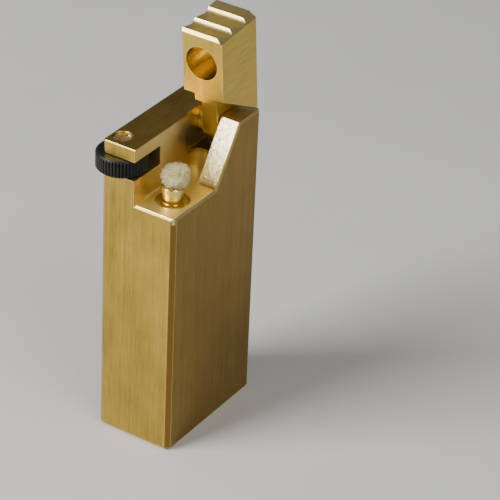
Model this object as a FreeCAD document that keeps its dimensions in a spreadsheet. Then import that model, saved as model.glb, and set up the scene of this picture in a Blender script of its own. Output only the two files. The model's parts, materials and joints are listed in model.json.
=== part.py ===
"""Pocket lighter of solid brass with a side thumb wheel, a fold-down snuffer lid and a wick.

Frame: +Z up, origin at the centre of the base. X runs along the wide sides, with the thumb wheel at
the -X end (the front) and the lid hinge at the +X end (the back). Y is the thickness, with the bar
that carries the wheel on the +Y side and the lid on the -Y side. The lid stands open at rest.
"""

import FreeCAD
import Part

import math
import os

import Sketcher

# Driving dimensions in millimetres.
SIZES = {
    "body_wide": 22.0,
    "body_thick": 12.8,
    "body_tall": 50.2,
    "corner_chamfer": 0.7,
    "side_chamfer": 0.4,
    "base_chamfer": 0.5,
    "top_chamfer": 0.12,
    "ledge_chamfer": 0.28,
    "fillet_from_front": 2.6,
    "fillet_leg": 0.25,
    "ledge_height": 41.0,
    "cheek_height": 49.7,
    "bar_width": 5.7,
    "slant_start": 10.75,
    "slant_angle": 56.0,
    "lid_slot_end": 13.7,
    "lid_slot_wide": 3.7,
    "arm_thick": 2.05,
    "wheel_slot_tall": 3.1,
    "wheel_slot_deep": 6.4,
    "wheel_radius": 3.9,
    "wheel_thick": 2.85,
    "wheel_from_front": 2.38,
    "wheel_from_far_side": 1.76,
    "wheel_chamfer": 0.3,
    "knurl_count": 48,
    "knurl_deep": 0.2,
    "knurl_half_wide": 0.17,
    "knurl_past_rim": 0.05,
    "tooth_count": 20,
    "tooth_deep": 0.18,
    "tooth_wide": 0.3,
    "tooth_inner_radius": 1.6,
    "tooth_rim_gap": 0.1,
    "bush_radius": 1.1,
    "bush_flange_radius": 1.36,
    "bush_end_gap": 0.02,
    "washer_thick": 0.15,
    "washer_radius": 2.0,
    "hub_recess_gap": 0.08,
    "hub_recess_deep": 0.1,
    "axle_radius": 0.8,
    "axle_thread_deep": 4.7,
    "axle_head_radius": 1.42,
    "axle_head_tall": 0.75,
    "axle_recess_radius": 1.55,
    "axle_recess_deep": 1.1,
    "slot_cut_deep": 0.4,
    "slot_cut_wide": 0.45,
    "flint_radius": 1.2,
    "flint_long": 5.0,
    "flint_offset": 2.6,
    "flint_bearing": 45.0,
    "flint_bore_radius": 1.28,
    "flint_screw_radius": 1.6,
    "flint_screw_long": 10.6,
    "flint_screw_head": 2.1,
    "flint_screw_head_tall": 0.75,
    "pusher_radius": 1.15,
    "pusher_tall": 1.7,
    "spigot_radius": 0.5,
    "spigot_tall": 1.3,
    "flint_coil_radius": 0.85,
    "flint_wire_radius": 0.16,
    "flint_coil_pitch": 1.3,
    "tube_from_front": 4.8,
    "tube_from_near_side": 3.63,
    "tube_stands": 2.5,
    "tube_bore_radius": 1.1,
    "tube_neck_radius": 1.6,
    "tube_band_radius": 1.75,
    "tube_band_tall": 0.9,
    "tube_band_sunk": 0.05,
    "tube_rim_chamfer": 0.15,
    "tube_recess_radius": 2.6,
    "tube_recess_deep": 0.8,
    "wick_radius": 1.05,
    "wick_head_radius": 1.2,
    "wick_head_tall": 3.0,
    "wick_neck_tall": 0.1,
    "wick_flare_tall": 0.4,
    "wick_crown_share": 0.7,
    "wick_tail_height": 12.0,
    "lid_thick": 8.95,
    "lid_side_gap": 0.12,
    "lid_foot_tall": 8.48,
    "lid_heel_tall": 2.62,
    "lid_over": 0.05,
    "lid_back_over": 0.2,
    "lid_lean": 5.74,
    "lid_bevel_wide": 1.1,
    "lid_bevel_tall": 0.6,
    "lid_edge": 0.16,
    "lid_front_edge": 0.4,
    "lid_hole_radius": 2.7,
    "lid_hole_deep": 6.4,
    "rib_pitch": 3.5,
    "rib_deep": 0.55,
    "cove_run": 1.1,
    "cove_radius": 1.1,
    "hinge_from_back": 3.27,
    "hinge_from_top": 2.8,
    "hinge_pin_radius": 0.9,
    "hinge_pin_inset": 1.2,
    "running_gap": 0.04,
    "knuckle_radius": 2.75,
    "tongue_wide": 2.65,
    "tongue_side_gap": 0.15,
    "tongue_front_tall": 7.2,
    "root_low": 5.1,
    "root_high": 7.6,
    "root_front": 3.3,
    "tongue_back_tall": 4.0,
    "hinge_pocket_start": 13.6,
    "hinge_pocket_deeper": 0.4,
    "hinge_washer_radius": 2.2,
    "hinge_washer_gap": 0.04,
    "plunger_radius": 1.25,
    "plunger_tall": 4.0,
    "plunger_bore_deep": 9.4,
    "plunger_gap": 0.05,
    "dome_ratio": 1.25,
    "knuckle_gap": 0.7,
    "lid_coil_radius": 0.9,
    "lid_wire_radius": 0.17,
    "lid_coil_pitch": 0.9,
    "tank_roof": 33.0,
    "tank_wall": 1.5,
    "tank_front": 3.3,
    "tank_back": 4.4,
    "tank_step": 6.4,
    "tank_step_wide": 5.8,
    "plate_edge": 1.1,
    "plate_gap": 0.05,
    "plate_recess_deep": 1.9,
    "plate_thick": 1.4,
    "plate_inset": 0.3,
    "gasket_thick": 0.18,
    "filler_x": 2.0,
    "filler_radius": 2.0,
    "filler_boss_radius": 3.2,
    "filler_boss_tall": 2.8,
    "filler_head_radius": 2.7,
    "filler_head_tall": 0.55,
    "filler_recess_deep": 0.8,
    "seal_thick": 0.2,
    "base_screw_x": 8.3,
    "base_screw_y": 3.4,
    "base_screw_radius": 0.7,
    "base_screw_long": 4.0,
    "base_thread_spare": 0.5,
    "base_head_radius": 1.25,
    "base_head_tall": 0.6,
    "base_recess_deep": 0.65,
    "packing_gap": 0.2,
    "felt_thick": 2.0,
    "beyond": 2.0,
}

# A direction along an axis has at least this much of it; places closer than this are the same.
ALONG = 0.9
SAME_PLACE = 1e-3

# Places worked out from the driving dimensions, one cell each.
PLACES = {
    "half_wide": "body_wide / 2",
    "half_thick": "body_thick / 2",
    "front": "-body_wide / 2",
    "near_side": "-body_thick / 2",
    "past_front": "-body_wide / 2 - beyond",
    "past_back": "body_wide / 2 + beyond",
    "past_near": "-body_thick / 2 - beyond",
    "past_top": "body_tall + beyond",
    "below_base": "-beyond",
    "bar_side": "body_thick / 2 - bar_width",
    "cheek_side": "body_thick / 2 - bar_width - lid_slot_wide",
    "fillet_start": "-body_wide / 2 + fillet_from_front",
    "fillet_top": "ledge_height + fillet_leg",
    "fillet_side": "body_thick / 2 - bar_width - fillet_leg",
    "slant_foot": "-body_wide / 2 + slant_start",
    "slant_head": "-body_wide / 2 + slant_start + (cheek_height - ledge_height) / tan(slant_angle * 1deg)",
    "slot_centre": "-body_wide / 2 + lid_slot_end",
    "slot_radius": "lid_slot_wide / 2",
    "pocket_start": "-body_wide / 2 + hinge_pocket_start",
    "pocket_side": "body_thick / 2 - bar_width + hinge_pocket_deeper",
    "hinge_x": "body_wide / 2 - hinge_from_back",
    "hinge_z": "body_tall - hinge_from_top",
    "pocket_floor": "body_tall - hinge_from_top - knuckle_radius - knuckle_gap",
    "arm_under": "body_tall - arm_thick",
    "wheel_floor": "body_tall - arm_thick - wheel_slot_tall",
    "wheel_slot_back": "-body_wide / 2 + wheel_slot_deep",
    "wheel_x": "-body_wide / 2 + wheel_from_front",
    "wheel_y": "body_thick / 2 - wheel_from_far_side",
    "wheel_low": "body_tall - arm_thick - wheel_slot_tall / 2 - wheel_thick / 2",
    "axle_seat": "body_tall - axle_recess_deep",
    "flint_x": "-body_wide / 2 + wheel_from_front + flint_offset * cos(flint_bearing * 1deg)",
    "flint_y": "body_thick / 2 - wheel_from_far_side - flint_offset * sin(flint_bearing * 1deg)",
    "tube_x": "-body_wide / 2 + tube_from_front",
    "tube_y": "-body_thick / 2 + tube_from_near_side",
    "tube_top": "ledge_height + tube_stands",
    "tube_foot": "ledge_height - tube_recess_deep",
    "tank_x0": "-body_wide / 2 + tank_front",
    "tank_x1": "body_wide / 2 - tank_back",
    "tank_y0": "-body_thick / 2 + tank_wall",
    "tank_y1": "body_thick / 2 - tank_wall",
    "tank_xs": "-body_wide / 2 + tank_step",
    "tank_ys": "body_thick / 2 - tank_step_wide",
    "plate_x": "body_wide / 2 - plate_edge - plate_gap",
    "plate_y": "body_thick / 2 - plate_edge - plate_gap",
    "recess_x": "body_wide / 2 - plate_edge",
    "recess_y": "body_thick / 2 - plate_edge",
    "plate_top": "plate_inset + plate_thick",
    "lid_back": "hinge_from_top",
    "lid_face": "hinge_from_top - lid_thick",
    "lid_top": "body_wide - hinge_from_back + lid_over",
    "lid_far": "body_thick / 2 - bar_width - lid_side_gap",
    "lid_width": "body_thick - bar_width - lid_side_gap",
    "tongue_far": "body_thick / 2 - bar_width - lid_slot_wide + tongue_side_gap + tongue_wide",
    "slot_mid": "body_thick / 2 - bar_width - lid_slot_wide / 2",
    "slot_tip": "-body_wide / 2 + lid_slot_end + lid_slot_wide / 2",
    "plunger_bore_radius": "plunger_radius + running_gap",
    "lid_face_in": "hinge_from_top - lid_thick + lid_front_edge",
    "lid_top_in": "body_wide - hinge_from_back + lid_over - lid_front_edge",
    "lid_back_top": "body_wide - hinge_from_back + lid_back_over",
    "rib_floor": "body_wide - hinge_from_back + lid_over - rib_deep",
    "cove_1_foot": "hinge_from_top - lid_thick + rib_pitch - cove_run",
    "cove_1_head": "hinge_from_top - lid_thick + rib_pitch",
    "cove_2_foot": "hinge_from_top - lid_thick + 2 * rib_pitch - cove_run",
    "cove_2_head": "hinge_from_top - lid_thick + 2 * rib_pitch",
    "bevel_low": "body_wide - hinge_from_back + lid_over - lid_bevel_tall",
    "bevel_in": "-body_thick / 2 + lid_bevel_wide",
    "bevel_past": "-body_thick / 2 - beyond",
    "bevel_over": "body_wide - hinge_from_back + lid_over + lid_bevel_tall",
    "lid_hole_z": "body_wide - hinge_from_back - tube_from_front",
    "hub_recess_radius": "bush_flange_radius + hub_recess_gap",
    "washer_recess_radius": "washer_radius + hub_recess_gap",
    "knuckle_bore_radius": "hinge_pin_radius + running_gap",
    "hub_radius": "bush_radius + running_gap",
    "wheel_rim_in": "wheel_radius - wheel_chamfer",
    "wheel_rim_high": "wheel_thick - wheel_chamfer",
    "knurl_root": "wheel_radius - knurl_deep",
    "knurl_out": "wheel_radius + knurl_past_rim",
    "tooth_out": "wheel_radius - wheel_chamfer - tooth_rim_gap",
    "tooth_half": "tooth_wide / 2",
    "bush_bore_radius": "axle_radius + running_gap",
    "bush_tall": "wheel_slot_tall - bush_end_gap",
    "tube_low_band": "ledge_height - tube_band_sunk",
    "tube_high_band": "ledge_height + tube_stands - tube_band_tall",
    "tube_rim": "ledge_height + tube_stands - tube_rim_chamfer",
    "tube_rim_in": "tube_band_radius - tube_rim_chamfer",
    "wick_neck": "ledge_height + tube_stands + wick_neck_tall",
    "wick_head_low": "ledge_height + tube_stands + wick_flare_tall",
    "wick_head_high": "ledge_height + tube_stands + wick_crown_share * wick_head_tall",
    "wick_head_top": "ledge_height + tube_stands + wick_head_tall",
    "wick_crown": "wick_head_radius / 2",
    "dome_foot": "plunger_tall - plunger_radius / 2",
    "dome_radius": "plunger_radius * dome_ratio",
    "pack_x0": "-body_wide / 2 + tank_front + packing_gap",
    "pack_x1": "body_wide / 2 - tank_back - packing_gap",
    "pack_y0": "-body_thick / 2 + tank_wall + packing_gap",
    "pack_y1": "body_thick / 2 - tank_wall - packing_gap",
    "pack_xs": "-body_wide / 2 + tank_step + packing_gap",
    "pack_ys": "body_thick / 2 - tank_step_wide - packing_gap",
    "felt_low": "plate_inset + plate_thick + filler_boss_tall + packing_gap",
    "packing_low": "plate_inset + plate_thick + filler_boss_tall + 2 * packing_gap + felt_thick",
    "packing_bore_radius": "wick_radius + packing_gap / 2",
    "flint_screw_bore_radius": "flint_screw_radius + running_gap",
    "flint_screw_hole": "flint_screw_radius + 3 * running_gap",
    "flint_screw_recess": "flint_screw_head + 3 * running_gap",
    "filler_thread_radius": "filler_radius + running_gap",
    "filler_recess_radius": "filler_head_radius + 3 * running_gap",
    "base_screw_hole": "base_screw_radius + 2 * running_gap",
    "base_screw_recess": "base_head_radius + 3 * running_gap",
    "seal_radius": "filler_head_radius - running_gap",
    "seal_bore_radius": "filler_radius + running_gap",
}


def make_sheet(doc, name, rows):
    """A spreadsheet with one named cell per row."""
    sheet = doc.addObject("Spreadsheet::Sheet", name)
    for row, (alias, content) in enumerate(rows.items(), start=1):
        sheet.set(f"A{row}", alias.replace("_", " "))
        sheet.set(f"B{row}", str(content))
        sheet.setAlias(f"B{row}", alias)
    doc.recompute()
    return sheet


def qualified(formula):
    """The formula with each driving dimension's alias written as Sizes.alias."""
    words = []
    word = ""
    for letter in formula + " ":
        if letter.isalnum() or letter == "_":
            word += letter
            continue
        words.append(f"Sizes.{word}" if word in SIZES else word)
        words.append(letter)
        word = ""
    return "".join(words).strip()


doc = FreeCAD.newDocument("Lighter")
sizes = make_sheet(doc, "Sizes", SIZES)
places = make_sheet(doc, "Places", {name: "=" + qualified(text) for name, text in PLACES.items()})


def number(name):
    """The value of a cell, of a cell with a minus sign before its name, or of the word zero."""
    if name == "zero":
        return 0.0
    if name.startswith("-"):
        return -number(name[1:])
    sheet = sizes if name in SIZES else places
    cell = sheet.get(name)
    return float(getattr(cell, "Value", cell))


def bind(thing, prop, text):
    """Tie a property to cells; bare aliases in the text are looked up in their sheets."""
    words = []
    word = ""
    for letter in text + " ":
        if letter.isalnum() or letter == "_":
            word += letter
            continue
        sheet = "Sizes." if word in SIZES else "Places." if word in PLACES else ""
        words.append(sheet + word + letter)
        word = ""
    thing.setExpression(prop, "".join(words).strip())


# --- PartDesign helpers ---------------------------------------------------------------------------

def new_body(label):
    body = doc.addObject("PartDesign::Body", label)
    body.Label = label
    return body


def origin_plane(body, role):
    return next(feature for feature in body.Origin.OriginFeatures if feature.Role == role)


def new_sketch(body, name, role, offset):
    """A sketch on one of the body's own planes, moved along that plane's normal."""
    sketch = body.newObject("Sketcher::SketchObject", name)
    sketch.AttachmentSupport = [(origin_plane(body, role), "")]
    sketch.MapMode = "FlatFace"
    bind(sketch, "AttachmentOffset.Base.z", offset)
    doc.recompute()
    return sketch


def pin_point(sketch, geometry, vertex, x_name, y_name):
    """Hold a vertex at a place given by two cells."""
    for kind, name, axis in (("DistanceX", x_name, -2), ("DistanceY", y_name, -1)):
        if name == "zero":
            sketch.addConstraint(Sketcher.Constraint("PointOnObject", geometry, vertex, axis))
            continue
        index = sketch.addConstraint(Sketcher.Constraint(kind, -1, 1, geometry, vertex, number(name)))
        bind(sketch, f"Constraints[{index}]", name)


def draw_circle(sketch, x_name, y_name, radius_name):
    centre = FreeCAD.Vector(number(x_name), number(y_name), 0)
    circle = Part.Circle(centre, FreeCAD.Vector(0, 0, 1), number(radius_name))
    geometry = sketch.addGeometry(circle, False)
    pin_point(sketch, geometry, 3, x_name, y_name)
    index = sketch.addConstraint(Sketcher.Constraint("Radius", geometry, number(radius_name)))
    bind(sketch, f"Constraints[{index}]", radius_name)


def draw_outline(sketch, corners):
    """A closed outline. A corner is (x, y), or (x, y, radius, turn) where an arc leaves it.

    turn is 1 for an arc that goes anticlockwise to the next corner and -1 for a clockwise one.
    """
    points = [FreeCAD.Vector(number(corner[0]), number(corner[1]), 0) for corner in corners]
    ends = []
    for place, corner in enumerate(corners):
        start = points[place]
        end = points[(place + 1) % len(points)]
        if len(corner) == 2:
            ends.append((sketch.addGeometry(Part.LineSegment(start, end), False), 1, 2))
            continue
        radius = number(corner[2])
        turn = corner[3]
        chord = end - start
        rise = math.sqrt(max(radius**2 - (chord.Length / 2) ** 2, 0)) / chord.Length * turn
        centre = (start + end) * 0.5 + FreeCAD.Vector(-chord.y, chord.x, 0) * rise
        first, last = (start, end) if turn > 0 else (end, start)
        angles = [math.atan2(point.y - centre.y, point.x - centre.x) for point in (first, last)]
        circle = Part.Circle(centre, FreeCAD.Vector(0, 0, 1), radius)
        geometry = sketch.addGeometry(Part.ArcOfCircle(circle, *angles), False)
        ends.append((geometry, 1, 2) if turn > 0 else (geometry, 2, 1))
        index = sketch.addConstraint(Sketcher.Constraint("Radius", geometry, radius))
        bind(sketch, f"Constraints[{index}]", corner[2])
    for place, corner in enumerate(corners):
        geometry, start, _ = ends[place]
        before, _, end = ends[place - 1]
        sketch.addConstraint(Sketcher.Constraint("Coincident", before, end, geometry, start))
        pin_point(sketch, geometry, start, corner[0], corner[1])


def extrude(body, kind, name, draw, role, offset, length, reverse=False):
    """A Pad or a Pocket from a sketch that draw() fills in."""
    sketch = new_sketch(body, name + "_sketch", role, offset)
    draw(sketch)
    doc.recompute()
    before = body.Shape.Volume if body.Tip else 0.0
    feature = body.newObject("PartDesign::" + kind, name)
    feature.Profile = sketch
    feature.Reversed = reverse
    bind(feature, "Length", length)
    doc.recompute()
    change = body.Shape.Volume - before
    if (change if kind == "Pad" else -change) <= 1e-6:
        raise RuntimeError(f"{name} changed nothing")
    return feature


def pad(body, name, corners, role, offset, length, reverse=False):
    return extrude(body, "Pad", name, lambda s: draw_outline(s, corners), role, offset, length, reverse)


def pocket(body, name, corners, role, offset, length, reverse=False):
    return extrude(body, "Pocket", name, lambda s: draw_outline(s, corners), role, offset, length, reverse)


def bore(body, name, centre, radius, offset, length, role="XY_Plane", reverse=False):
    def draw(sketch):
        draw_circle(sketch, centre[0], centre[1], radius)

    return extrude(body, "Pocket", name, draw, role, offset, length, reverse)


def chamfer(body, name, size, chosen):
    """Chamfer the edges of the body so far that chosen(edge's centre, edge's direction) picks."""
    base = body.Tip
    names = []
    for index, edge in enumerate(base.Shape.Edges, start=1):
        chord = edge.Vertexes[-1].Point - edge.Vertexes[0].Point
        if chord.Length > 1e-6 and chosen(edge.CenterOfMass, chord / chord.Length):
            names.append(f"Edge{index}")
    if not names:
        raise RuntimeError(f"{name} found no edges")
    feature = body.newObject("PartDesign::Chamfer", name)
    feature.Base = (base, names)
    bind(feature, "Size", size)
    doc.recompute()
    return feature


def revolve(body, name, corners):
    """A turned piece about Z, from an outline in the XZ plane with x as the radius."""
    sketch = new_sketch(body, name + "_sketch", "XZ_Plane", "0")
    draw_outline(sketch, corners)
    doc.recompute()
    feature = body.newObject("PartDesign::Revolution", name)
    feature.Profile = sketch
    feature.ReferenceAxis = (sketch, ["V_Axis"])
    feature.Angle = 360
    doc.recompute()
    return feature


def put(thing, x_text, y_text, z_text):
    """Bind the sub-part's place."""
    for axis, text in zip("xyz", (x_text, y_text, z_text)):
        bind(thing, f"Placement.Base.{axis}", text)


def near(value, name):
    return abs(value - number(name)) < SAME_PLACE


# --- Part helpers ---------------------------------------------------------------------------------

def cylinder(name, radius, length, place, along_y=False):
    thing = doc.addObject("Part::Cylinder", name)
    bind(thing, "Radius", radius)
    bind(thing, "Height", length)
    if along_y:
        thing.Placement.Rotation = FreeCAD.Rotation(FreeCAD.Vector(1, 0, 0), -90)
    put(thing, *place)
    return thing


def box(name, lengths, place):
    thing = doc.addObject("Part::Box", name)
    for prop, text in zip(("Length", "Width", "Height"), lengths):
        bind(thing, prop, text)
    put(thing, *place)
    return thing


def cut(name, base, *tools):
    thing = doc.addObject("Part::Cut", name)
    thing.Base = base
    thing.Tool = tools[0] if len(tools) == 1 else fuse(name + "_tools", *tools)
    return thing


def fuse(name, *shapes):
    thing = doc.addObject("Part::MultiFuse", name)
    thing.Shapes = list(shapes)
    thing.Refine = True
    return thing


def coil(name, radius, wire, pitch, tall, place):
    """A round-wire compression spring."""
    path = doc.addObject("Part::Helix", name + "_path")
    bind(path, "Radius", radius)
    bind(path, "Pitch", pitch)
    bind(path, "Height", tall)
    section = doc.addObject("Part::Circle", name + "_section")
    bind(section, "Radius", wire)
    section.Placement.Rotation = FreeCAD.Rotation(FreeCAD.Vector(1, 0, 0), 90)
    bind(section, "Placement.Base.x", radius)
    doc.recompute()
    spring = doc.addObject("Part::Sweep", name)
    spring.Sections = [section]
    spring.Spine = (path, [f"Edge{n + 1}" for n in range(len(path.Shape.Edges))])
    spring.Solid = True
    spring.Frenet = True
    put(spring, *place)
    return spring


# --- Brass body -----------------------------------------------------------------------------------

def make_body():
    """The milled block: tank below, ledge, cheek, hinge slot, and the bar with the wheel slot."""
    body = new_body("body")
    block = [
        ("-half_wide", "-half_thick"),
        ("half_wide", "-half_thick"),
        ("half_wide", "half_thick"),
        ("-half_wide", "half_thick"),
    ]
    pad(body, "block", block, "XY_Plane", "0", "body_tall")

    def near_front_corner(centre, direction):
        return abs(direction.z) > ALONG and near(centre.x, "front") and near(centre.y, "near_side")

    def other_corner(centre, direction):
        at_corner = near(abs(centre.x), "half_wide") and near(abs(centre.y), "half_thick")
        return abs(direction.z) > ALONG and at_corner

    chamfer(body, "near_front_edge", "corner_chamfer", near_front_corner)
    chamfer(body, "side_edges", "side_chamfer", other_corner)
    chamfer(body, "base_edges", "base_chamfer", lambda c, d: abs(c.z) < SAME_PLACE)
    chamfer(body, "top_edges", "top_chamfer", lambda c, d: near(c.z, "body_tall"))

    notch = [
        ("past_front", "ledge_height"),
        ("slant_foot", "ledge_height"),
        ("slant_head", "cheek_height"),
        ("past_back", "cheek_height"),
        ("past_back", "past_top"),
        ("past_front", "past_top"),
    ]
    pocket(body, "notch", notch, "XZ_Plane", "-past_near", "bar_side - past_near")
    lid_slot = [
        ("tube_x", "cheek_side"),
        ("slot_centre", "cheek_side", "slot_radius", 1),
        ("slot_tip", "slot_mid", "slot_radius", 1),
        ("slot_centre", "bar_side"),
        ("tube_x", "bar_side"),
    ]
    pocket(body, "lid_slot", lid_slot, "XY_Plane", "past_top", "past_top - ledge_height")
    fillet = [("bar_side", "ledge_height"), ("bar_side", "fillet_top"), ("fillet_side", "ledge_height")]
    pad(body, "ledge_fillet", fillet, "YZ_Plane", "fillet_start", "slot_centre - fillet_start")
    hinge_pocket = [
        ("pocket_start", "cheek_side"),
        ("past_back", "cheek_side"),
        ("past_back", "pocket_side"),
        ("pocket_start", "pocket_side"),
    ]
    pocket(body, "hinge_pocket", hinge_pocket, "XY_Plane", "past_top", "past_top - pocket_floor")
    wheel_slot = [
        ("past_front", "wheel_floor"),
        ("wheel_slot_back", "wheel_floor"),
        ("wheel_slot_back", "arm_under"),
        ("past_front", "arm_under"),
    ]
    pocket(body, "wheel_slot", wheel_slot, "XZ_Plane", "0", "half_thick + beyond")

    tank = [
        ("tank_x0", "tank_y0"),
        ("tank_x1", "tank_y0"),
        ("tank_x1", "tank_y1"),
        ("tank_xs", "tank_y1"),
        ("tank_xs", "tank_ys"),
        ("tank_x0", "tank_ys"),
    ]
    pocket(body, "tank", tank, "XY_Plane", "below_base", "tank_roof + beyond", reverse=True)
    recess = [
        ("-recess_x", "-recess_y"),
        ("recess_x", "-recess_y"),
        ("recess_x", "recess_y"),
        ("-recess_x", "recess_y"),
    ]
    pocket(body, "plate_recess", recess, "XY_Plane", "below_base", "plate_recess_deep + beyond", reverse=True)

    wheel = ("wheel_x", "wheel_y")
    flint = ("flint_x", "flint_y")
    wick = ("tube_x", "tube_y")
    bore(body, "axle_recess", wheel, "axle_recess_radius", "past_top", "axle_recess_deep + beyond")
    bore(body, "axle_thread", wheel, "axle_radius", "past_top", "past_top - wheel_floor + axle_thread_deep")
    bore(body, "flint_bore", flint, "flint_bore_radius", "arm_under", "arm_under")
    bore(body, "flint_screw_bore", flint, "flint_screw_bore_radius", "below_base",
         "plate_top + flint_screw_long + beyond", reverse=True)
    bore(body, "wick_recess", wick, "tube_recess_radius", "past_top", "past_top - tube_foot")
    bore(body, "wick_bore", wick, "tube_band_radius", "past_top", "past_top - tank_roof + beyond")
    bore(body, "plunger_bore", ("hinge_x", "slot_mid"), "plunger_bore_radius", "past_top",
         "past_top - pocket_floor + plunger_bore_deep")
    bore(body, "hinge_pin_bore", ("hinge_x", "hinge_z"), "hinge_pin_radius", "-half_thick",
         "body_thick - hinge_pin_inset", role="XZ_Plane", reverse=True)
    for side, y_name in (("near", "-base_screw_y"), ("far", "base_screw_y")):
        bore(body, f"base_thread_{side}", ("base_screw_x", y_name), "base_screw_radius", "below_base",
             "plate_inset + base_recess_deep + base_screw_long + beyond + base_thread_spare", reverse=True)
    return body


def soften_ledge(body):
    """Small chamfers on the outer edges of the ledge and the cheek."""
    def outer_edge(centre, direction):
        along_front = near(centre.x, "front") and near(centre.z, "ledge_height")
        along_side = near(centre.y, "near_side") and centre.z > number("ledge_height") - SAME_PLACE
        return abs(direction.z) < ALONG and (along_front or along_side)

    chamfer(body, "ledge_edges", "ledge_chamfer", outer_edge)


# --- Lid ------------------------------------------------------------------------------------------

def make_lid():
    """The snuffer lid with its tongue, drawn upright about the hinge axis and then leant forward."""
    body = new_body("lid")
    side = [
        ("lid_face", "lid_foot_tall"),
        ("lid_back", "lid_heel_tall"),
        ("lid_back", "lid_back_top"),
        ("cove_2_head", "lid_top", "cove_radius", -1),
        ("cove_2_foot", "rib_floor"),
        ("cove_1_head", "lid_top", "cove_radius", -1),
        ("cove_1_foot", "rib_floor"),
        ("lid_face_in", "lid_top"),
        ("lid_face", "lid_top_in"),
    ]
    pad(body, "lid_block", side, "XZ_Plane", "-lid_far", "lid_width")

    bevel = [
        ("near_side", "bevel_low"),
        ("bevel_in", "lid_top"),
        ("bevel_in", "bevel_over"),
        ("bevel_past", "bevel_over"),
        ("bevel_past", "bevel_low"),
    ]
    pocket(body, "lid_bevel", bevel, "YZ_Plane", "lid_back + beyond", "lid_thick + 2 * beyond")

    def upright_edge(centre, direction):
        at_back_near = near(centre.x, "lid_back") and near(centre.y, "near_side")
        return abs(direction.z) > ALONG and (near(centre.y, "lid_far") or at_back_near)

    chamfer(body, "lid_upright_edges", "lid_edge", upright_edge)
    bore(body, "lid_hole", ("tube_y", "lid_hole_z"), "lid_hole_radius", "lid_face - beyond",
         "lid_hole_deep + beyond", role="YZ_Plane", reverse=True)
    tongue = [
        ("-knuckle_radius", "zero", "knuckle_radius", 1),
        ("zero", "-knuckle_radius", "knuckle_radius", 1),
        ("knuckle_radius", "zero"),
        ("knuckle_radius", "tongue_back_tall"),
        ("-knuckle_radius", "tongue_front_tall"),
    ]
    pad(body, "tongue", tongue, "XZ_Plane", "-tongue_far", "tongue_wide")
    root = [
        ("-root_front", "root_low"),
        ("zero", "root_low"),
        ("zero", "root_high"),
        ("-root_front", "root_high"),
    ]
    pad(body, "tongue_root", root, "XZ_Plane", "-lid_far", "lid_far - tongue_far + tongue_wide")
    bore(body, "knuckle_bore", ("zero", "zero"), "knuckle_bore_radius", "-past_near",
         "body_thick + 2 * beyond", role="XZ_Plane")
    body.Placement.Rotation = FreeCAD.Rotation(FreeCAD.Vector(0, 1, 0), -number("lid_lean"))
    put(body, "hinge_x", "0", "hinge_z")
    return body


def make_hinge():
    """The hinge pin, the spring washer beside the tongue, and the plunger that holds the lid."""
    pin = cylinder("hinge_pin", "hinge_pin_radius", "body_thick - hinge_pin_inset - running_gap",
                   ("hinge_x", "-half_thick + hinge_pin_inset", "hinge_z"), along_y=True)
    wide = "pocket_side - tongue_far - 2 * hinge_washer_gap"
    rim = cylinder("hinge_washer_rim", "hinge_washer_radius", wide, ("0", "0", "0"), along_y=True)
    hole = cylinder("hinge_washer_hole", "knuckle_bore_radius", wide, ("0", "0", "0"), along_y=True)
    washer = cut("hinge_washer", rim, hole)
    put(washer, "hinge_x", "tongue_far + hinge_washer_gap", "hinge_z")

    plunger = new_body("lid_plunger")
    dome = [
        ("zero", "zero"),
        ("plunger_radius", "zero"),
        ("plunger_radius", "dome_foot", "dome_radius", 1),
        ("zero", "plunger_tall"),
    ]
    revolve(plunger, "plunger_form", dome)
    put(plunger, "hinge_x", "slot_mid", "hinge_z - knuckle_radius - plunger_gap - plunger_tall")
    spring = coil("lid_spring", "lid_coil_radius", "lid_wire_radius", "lid_coil_pitch",
                  "plunger_bore_deep + knuckle_gap - plunger_gap - plunger_tall - 4 * lid_wire_radius",
                  ("hinge_x", "slot_mid", "pocket_floor - plunger_bore_deep + 1.5 * lid_wire_radius"))
    return [pin, washer, plunger, spring]


# --- Wheel and flint ------------------------------------------------------------------------------

def polar(body, name, original, count):
    """Repeat a pocket round the body's Z axis."""
    pattern = body.newObject("PartDesign::PolarPattern", name)
    pattern.Originals = [original]
    pattern.Axis = (origin_plane(body, "Z_Axis"), [""])
    pattern.Angle = 360
    bind(pattern, "Occurrences", count)
    body.Tip = pattern
    doc.recompute()
    return pattern


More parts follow.
